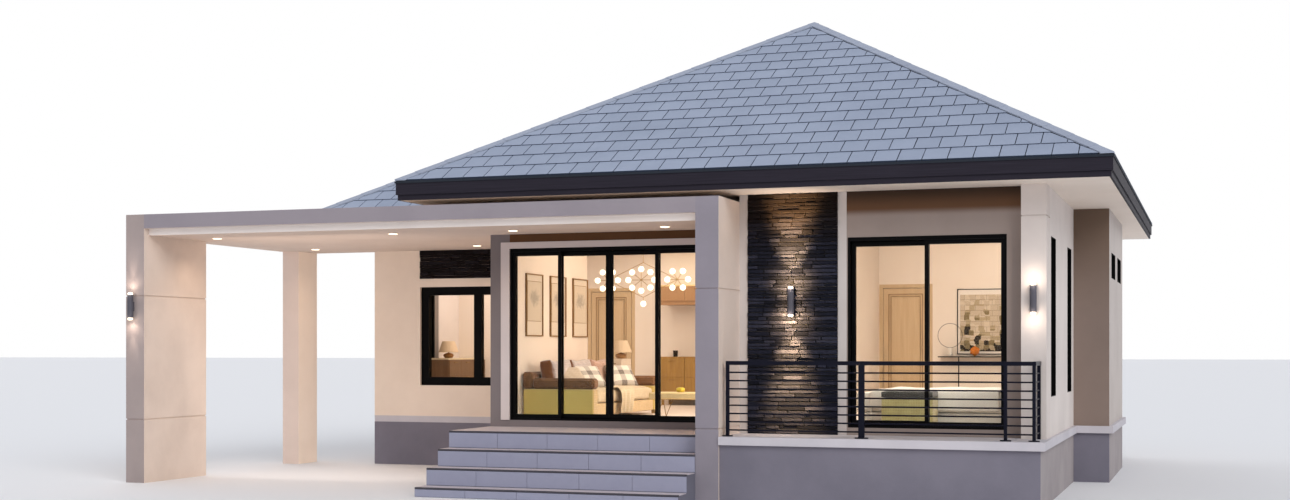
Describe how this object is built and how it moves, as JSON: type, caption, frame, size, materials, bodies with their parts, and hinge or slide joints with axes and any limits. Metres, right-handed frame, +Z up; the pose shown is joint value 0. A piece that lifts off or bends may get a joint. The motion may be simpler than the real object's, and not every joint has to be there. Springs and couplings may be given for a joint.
{
  "type": "bungalow",
  "caption": "Modern bungalow with tiled hip roofs, a flat-roofed carport portal, glazed sliding doors, a stone accent wall and a railed balcony over a low plinth",
  "frame": {"origin": "centre of the bounding box, at ground level", "axes": "+Z up, the front with the steps and the balcony looks along -Y, +X to the right seen from the front"},
  "size_m": [12.24, 10.99, 6.2162],
  "materials": {
    "grey_render": "matt",
    "white_render": "matt",
    "cream_render": "matt",
    "taupe_render": "matt",
    "portal_render": "matt",
    "inner_plaster": "matt",
    "floor_tile": "satin",
    "step_tile": "satin",
    "roof_tile": "matt",
    "dark_stone": "rough",
    "dark_board": "painted",
    "white_board": "painted",
    "black_aluminium": "satin",
    "navy_steel": "satin",
    "grey_metal": "satin",
    "clear_glass": "clear",
    "door_wood": "varnished",
    "lamp_glow": "opal",
    "sofa_cloth": "woven",
    "bed_linen": "woven",
    "picture_frame": "varnished",
    "shade_cloth": "woven"
  },
  "bodies": {
    "house": {"plinth": "grey_render", "floor_slab": "white_render", "room_floor": "floor_tile", "entrance_landing": "step_tile", "entrance_steps": "step_tile", "portal_left_fin": "portal_render", "portal_right_pier": "portal_render", "portal_beam": "portal_render", "carport_roof": "cream_render", "carport_rear_column": "cream_render", "carport_downlights": "lamp_glow", "bay_left_wall": "cream_render", "bay_left_jamb": "taupe_render", "bay_right_jamb": "taupe_render", "bay_lintel": "taupe_render", "bay_sill": "taupe_render", "living_door_surround": "cream_render", "living_door_frame": "black_aluminium", "fixed_door_panels": "black_aluminium", "fixed_door_panes": "clear_glass", "accent_wall": "cream_render", "stone_cladding": "dark_stone", "bedroom_front_wall": "taupe_render", "bedroom_lintel": "taupe_render", "bedroom_door_frame": "black_aluminium", "corner_column": "cream_render", "side_wall": "cream_render", "rear_block_walls": "taupe_render", "rear_side_wall": "cream_render", "rear_wall": "cream_render", "wing_left_wall": "cream_render", "wing_front_wall": "cream_render", "window_frames": "black_aluminium", "window_panes": "clear_glass", "main_roof": "roof_tile", "wing_roof": "roof_tile", "roof_caps": "roof_tile", "wall_head": "inner_plaster", "eave_fascia": "dark_board", "eave_soffit": "white_board", "ceiling": "white_board", "balcony_railing": "navy_steel", "wall_sconces": "grey_metal", "sconce_lenses": "lamp_glow", "inner_walls": "inner_plaster", "inner_door_linings": "door_wood", "sofa": "sofa_cloth", "bed": "bed_linen", "room_furniture": "door_wood", "wall_pictures": "picture_frame", "table_lamps": "shade_cloth", "pendant_lamp": "lamp_glow"},
    "living_panel_left": {"living_left_panel": "black_aluminium", "living_left_pane": "clear_glass"},
    "living_panel_right": {"living_right_panel": "black_aluminium", "living_right_pane": "clear_glass"},
    "bedroom_panel": {"bedroom_panel": "black_aluminium", "bedroom_pane": "clear_glass"},
    "living_room_inner_door": {"living_inner_door": "door_wood"},
    "bedroom_room_inner_door": {"bedroom_inner_door": "door_wood"}
  },
  "joints": [
    {"name": "living_panel_left_slide", "type": "slide", "parent": "house", "child": "living_panel_left", "axis": [-1, 0, 0], "range_m": [0, 0.6]},
    {"name": "living_panel_right_slide", "type": "slide", "parent": "house", "child": "living_panel_right", "axis": [1, 0, 0], "range_m": [0, 0.6]},
    {"name": "bedroom_panel_slide", "type": "slide", "parent": "house", "child": "bedroom_panel", "axis": [1, 0, 0], "range_m": [0, 0.8]},
    {"name": "living_room_inner_door_hinge", "type": "hinge", "parent": "house", "child": "living_room_inner_door", "pos_m": [-2.952, 3.505, 0.8], "axis": [0, 0, -1], "range_deg": [0, 90]},
    {"name": "bedroom_room_inner_door_hinge", "type": "hinge", "parent": "house", "child": "bedroom_room_inner_door", "pos_m": [2.07, 3.505, 0.8], "axis": [0, 0, -1], "range_deg": [0, 90]}
  ]
}
